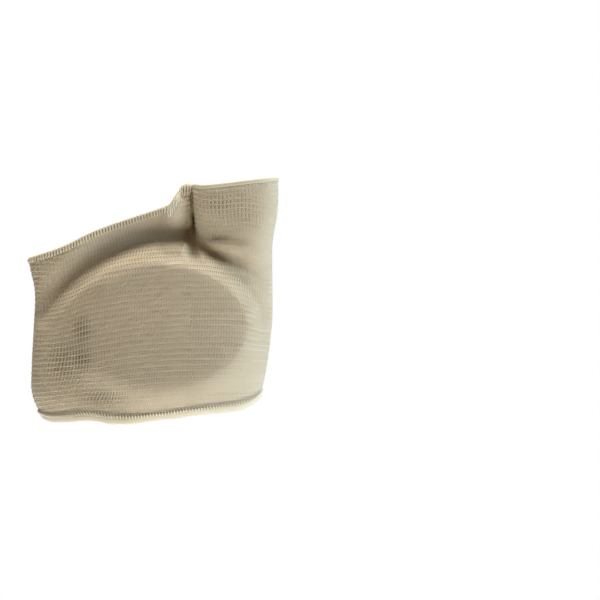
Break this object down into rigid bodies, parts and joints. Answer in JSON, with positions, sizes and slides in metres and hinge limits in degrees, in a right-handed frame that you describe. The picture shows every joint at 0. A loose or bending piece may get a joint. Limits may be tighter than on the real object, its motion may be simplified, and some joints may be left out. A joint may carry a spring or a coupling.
{
  "type": "bunion corrector sock",
  "caption": "Elastic knit forefoot sleeve with a big-toe loop, a slanted open edge for the other toes, a folded cuff hem and an oval gel pad under the ball of the foot.",
  "frame": {"origin": "middle of the cuff opening, in the plane between sole and instep, where the foot goes in", "axes": "+Z towards the toes, +X towards the big toe's side, -Y is the sole and +Y the instep"},
  "size_m": [0.1005, 0.0473, 0.0987],
  "materials": {
    "knit": "ribbed elastic knit, matte beige",
    "edge_yarn": "overlocked elastic yarn, cream",
    "hem": "folded and stitched knit band, cream",
    "gel": "soft translucent silicone gel, satin"
  },
  "bodies": {
    "root": {"knit_sleeve": "knit", "gel_pad": "gel", "toes_overlock": "edge_yarn", "big_toe_rim": "edge_yarn", "cuff_hem": "hem"}
  },
  "joints": []
}
